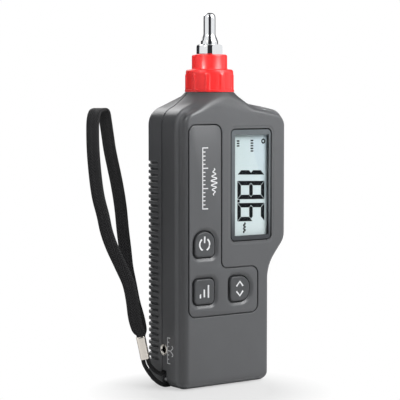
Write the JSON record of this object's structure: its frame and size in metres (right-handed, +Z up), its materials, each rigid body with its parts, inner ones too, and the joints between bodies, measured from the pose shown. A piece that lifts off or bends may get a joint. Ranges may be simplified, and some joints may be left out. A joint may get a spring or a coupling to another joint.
{
  "type": "handheld vibration meter",
  "caption": "Handheld vibration meter: a two-shell case with display, push keys, output jack and battery door, a screwed-on piezo probe with a round contact tip, and a wrist strap.",
  "frame": {"origin": "middle of the case's bottom, which it stands on", "axes": "+X to the right seen from the front, -Y out of the front face, +Z up along the case and out of the probe"},
  "size_m": [0.1057, 0.0356, 0.184],
  "materials": {
    "case_plastic": "fine grained moulded plastic, dark grey",
    "panel_plastic": "smooth satin dark grey inlay",
    "key_plastic": "grained dark grey key caps",
    "black_plastic": "plain black moulded plastic",
    "window_clear": "clear display window with a grey border",
    "display_cell": "pale blue grey liquid crystal cell",
    "contact_rubber": "striped contact rubber",
    "board": "green lacquered circuit board",
    "chip": "black chip housings",
    "capacitor": "sleeved capacitors",
    "trimmer": "blue trimmer housings",
    "connector": "off-white connector",
    "zinc_steel": "zinc plated screws and small steel pieces",
    "chrome_steel": "polished plated steel",
    "contact_brass": "bare brass",
    "battery_can": "plain printed battery can",
    "foam": "grey foam",
    "piezo": "fired piezo ceramic",
    "mass_metal": "heavy sintered metal",
    "black_rubber": "black rubber",
    "wire": "insulated wire, red and black",
    "cap_red": "bright red satin plastic",
    "strap_braid": "black woven braid",
    "strap_metal": "crimped plated sleeve"
  },
  "bodies": {
    "root": {"front_shell": "case_plastic", "back_shell": "case_plastic", "key_panel": "panel_plastic", "switch_housings": "black_plastic", "switch_domes": "zinc_steel", "display_window": "window_clear", "display_glass": "display_cell", "display_frame": "black_plastic", "contact_strips": "contact_rubber", "main_board": "board", "processor_chip": "chip", "amplifier_chips": "chip", "crystal_can": "zinc_steel", "board_capacitors": "capacitor", "trimmers": "trimmer", "sensor_connector": "connector", "board_screws": "zinc_steel", "case_screws": "zinc_steel", "jack_bush": "chrome_steel", "jack_socket": "black_plastic", "jack_leads": "wire", "battery": "battery_can", "battery_terminals": "contact_brass", "battery_snap": "black_plastic", "battery_leads": "wire", "battery_pad": "foam", "sensor_can": "zinc_steel", "sensor_base": "chrome_steel", "piezo_rings": "piezo", "electrode_plates": "contact_brass", "seismic_mass": "mass_metal", "preload_nut": "zinc_steel", "isolator_sleeve": "black_rubber", "nose_seal": "black_rubber", "sensor_lead": "black_rubber", "strap_bar": "zinc_steel", "strap_cord": "strap_braid", "strap_ferrule": "strap_metal", "wrist_strap": "strap_braid"},
    "measure_button": {"measure_key": "key_plastic", "measure_plunger": "black_plastic"},
    "mode_button": {"mode_key": "key_plastic", "mode_plunger": "black_plastic"},
    "range_button": {"range_key": "key_plastic", "range_plunger": "black_plastic"},
    "door": {"battery_door": "case_plastic"},
    "cap": {"probe_cap": "cap_red"},
    "tip": {"probe_tip": "chrome_steel"}
  },
  "joints": [
    {"name": "measure_press", "type": "slide", "parent": "root", "child": "measure_button", "axis": [0, 1, 0], "range_m": [0, 0.0006], "stiffness_N_per_m": 2500, "springref_m": -0.0002},
    {"name": "mode_press", "type": "slide", "parent": "root", "child": "mode_button", "axis": [0, 1, 0], "range_m": [0, 0.0006], "stiffness_N_per_m": 2500, "springref_m": -0.0002},
    {"name": "range_press", "type": "slide", "parent": "root", "child": "range_button", "axis": [0, 1, 0], "range_m": [0, 0.0006], "stiffness_N_per_m": 2500, "springref_m": -0.0002},
    {"name": "door_hinge", "type": "hinge", "parent": "root", "child": "door", "pos_m": [-0.0053, 0.0137, 0.009], "axis": [-1, 0, 0], "range_deg": [0, 75]},
    {"name": "cap_turn", "type": "hinge", "parent": "root", "child": "cap", "pos_m": [-0.0059, 0, 0.15], "axis": [0, 0, 1], "continuous": true},
    {"name": "tip_turn", "type": "hinge", "parent": "root", "child": "tip", "pos_m": [-0.0059, 0, 0.1635], "axis": [0, 0, 1], "continuous": true}
  ]
}
